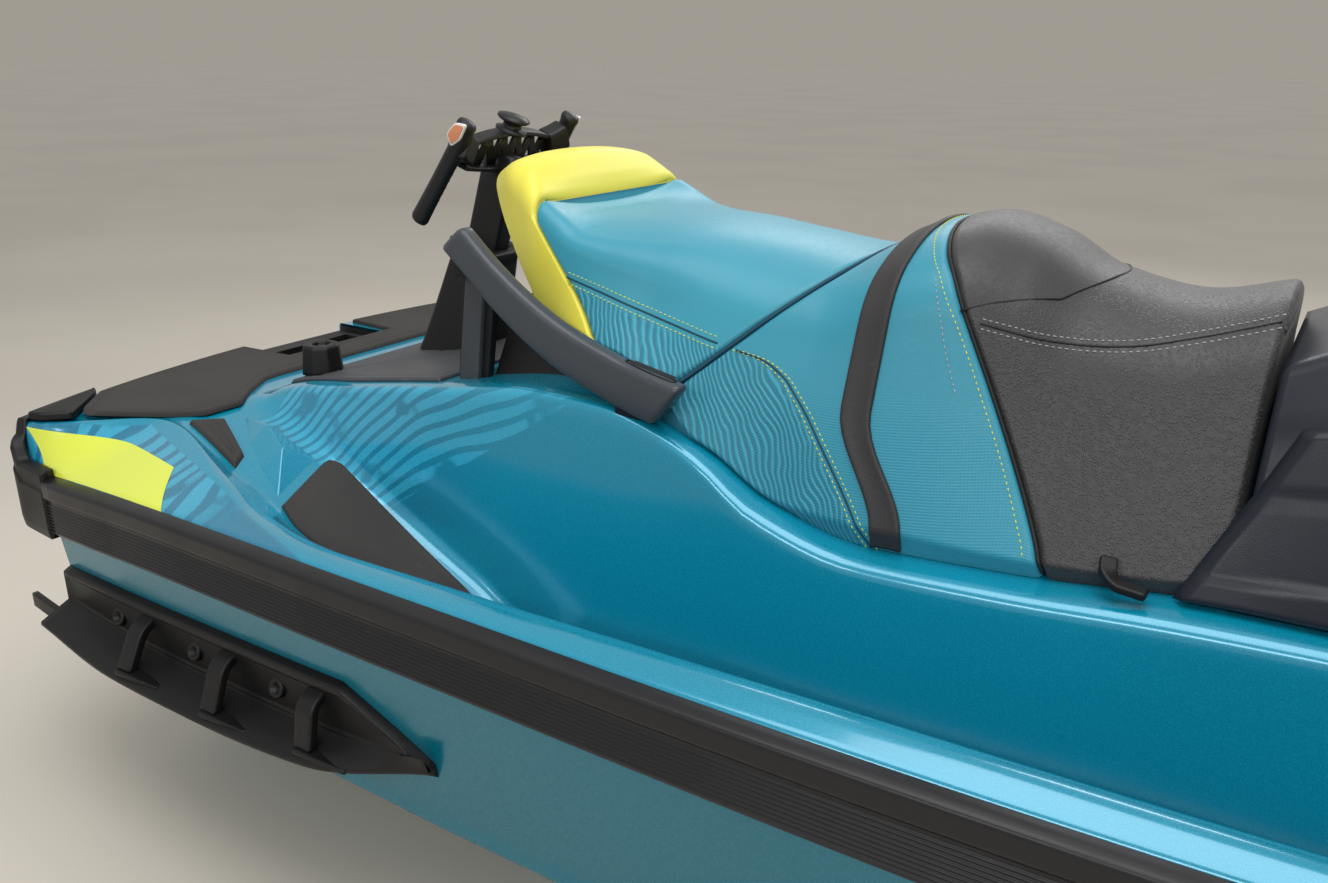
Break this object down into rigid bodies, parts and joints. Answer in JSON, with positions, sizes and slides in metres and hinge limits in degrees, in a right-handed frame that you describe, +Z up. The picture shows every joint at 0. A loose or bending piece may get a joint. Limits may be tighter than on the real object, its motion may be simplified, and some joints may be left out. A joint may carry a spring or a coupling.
{
  "type": "personal watercraft",
  "caption": "Sit-on personal watercraft for three riders, with tow pylon, stepped seat, jet pump, turning handlebar and folding boarding step.",
  "frame": {"origin": "waterline mark on the centre line, 1.6 m forward of the stern reference and 0.27 m above the keel", "axes": "+X to the bow, +Y to port, +Z up"},
  "size_m": [3.4495, 1.281, 1.1166],
  "materials": {
    "hull_gelcoat": "metallic gelcoat",
    "deck_gelcoat": "metallic gelcoat",
    "rail_rubber": "satin ribbed",
    "black_plastic": "satin moulded",
    "panel_plastic": "fine texture",
    "foam_mat": "brushed foam",
    "seat_yellow": "smooth vinyl",
    "seat_teal": "embossed vinyl",
    "seat_black": "grained vinyl",
    "strap_web": "satin strap",
    "pylon_alloy": "black coated",
    "bar_steel": "black coated",
    "grip_rubber": "ribbed",
    "mirror_glass": "satin moulded",
    "pump_alloy": "cast",
    "impeller_steel": "brushed",
    "engine_block": "plain block",
    "eye_steel": "polished",
    "gauge_glass": "dark glossy"
  },
  "bodies": {
    "craft": {"anchor_port": "black_plastic", "anchor_starboard": "black_plastic", "bow_bumper": "rail_rubber", "bow_eye": "eye_steel", "console": "black_plastic", "console_panel_port": "panel_plastic", "console_panel_starboard": "panel_plastic", "deck": "deck_gelcoat", "engine": "engine_block", "footwell_mat_port": "foam_mat", "footwell_mat_starboard": "foam_mat", "gauge": "gauge_glass", "grab_rail_port": "black_plastic", "grab_rail_starboard": "black_plastic", "hull": "hull_gelcoat", "intake_grate": "pump_alloy", "mirror_port": "mirror_glass", "mirror_starboard": "mirror_glass", "nose_panel": "black_plastic", "platform_mat": "foam_mat", "pump_housing": "pump_alloy", "pylon_base": "black_plastic", "ramp_mat_port": "foam_mat", "ramp_mat_starboard": "foam_mat", "rear_deck_panel": "panel_plastic", "ride_plate": "pump_alloy", "rub_rail_port": "rail_rubber", "rub_rail_starboard": "rail_rubber", "seat_base": "black_plastic", "seat_driver_front": "seat_black", "seat_driver_rear": "seat_teal", "seat_passenger": "seat_teal", "seat_strap": "strap_web", "seat_tail": "seat_yellow", "sponson_port": "black_plastic", "sponson_starboard": "black_plastic", "stern_corner_port": "rail_rubber", "stern_corner_starboard": "rail_rubber", "stern_eye_port": "eye_steel", "stern_eye_starboard": "eye_steel", "storage_bin": "black_plastic"},
    "handlebar": {"handlebar": "bar_steel", "steering_pad": "black_plastic", "grip_starboard": "grip_rubber", "grip_port": "grip_rubber", "lever_starboard": "black_plastic", "lever_port": "black_plastic"},
    "nozzle": {"nozzle": "pump_alloy"},
    "reverse_gate": {"reverse_gate": "pump_alloy"},
    "impeller": {"impeller": "impeller_steel"},
    "pylon": {"pylon": "pylon_alloy"},
    "storage_lid": {"storage_lid": "deck_gelcoat"},
    "glovebox_lid": {"glovebox_lid": "black_plastic"},
    "boarding_step": {"boarding_step": "black_plastic"}
  },
  "joints": [
    {"name": "handlebar_steer", "type": "hinge", "parent": "craft", "child": "handlebar", "pos_m": [0.365, 0, 0.792], "axis": [-0.4067, 0, 0.9135], "range_deg": [-20, 20]},
    {"name": "nozzle_steer", "type": "hinge", "parent": "craft", "child": "nozzle", "pos_m": [-1.41, 0, -0.135], "axis": [0, 0, 1], "range_deg": [-20, 20]},
    {"name": "reverse_gate_swing", "type": "hinge", "parent": "craft", "child": "reverse_gate", "pos_m": [-1.435, 0, -0.095], "axis": [0, -1, 0], "range_deg": [0, 75]},
    {"name": "impeller_spin", "type": "hinge", "parent": "craft", "child": "impeller", "pos_m": [-1.2, 0, -0.135], "axis": [1, 0, 0], "continuous": true},
    {"name": "pylon_slide", "type": "slide", "parent": "craft", "child": "pylon", "axis": [0.309, 0, 0.9511], "range_m": [-0.11, 0]},
    {"name": "storage_lid_swing", "type": "hinge", "parent": "craft", "child": "storage_lid", "pos_m": [1.544, 0, 0.434], "axis": [0, 1, 0], "range_deg": [0, 55]},
    {"name": "glovebox_lid_swing", "type": "hinge", "parent": "craft", "child": "glovebox_lid", "pos_m": [0.2506, 0, 0.614], "axis": [0, 1, 0], "range_deg": [0, 80]},
    {"name": "boarding_step_swing", "type": "hinge", "parent": "craft", "child": "boarding_step", "pos_m": [-1.488, 0, 0.27], "axis": [0, -1, 0], "range_deg": [0, 90]}
  ],
  "couplings": [
    {"joint": "nozzle_steer", "follows": "handlebar_steer", "ratio": -1}
  ]
}
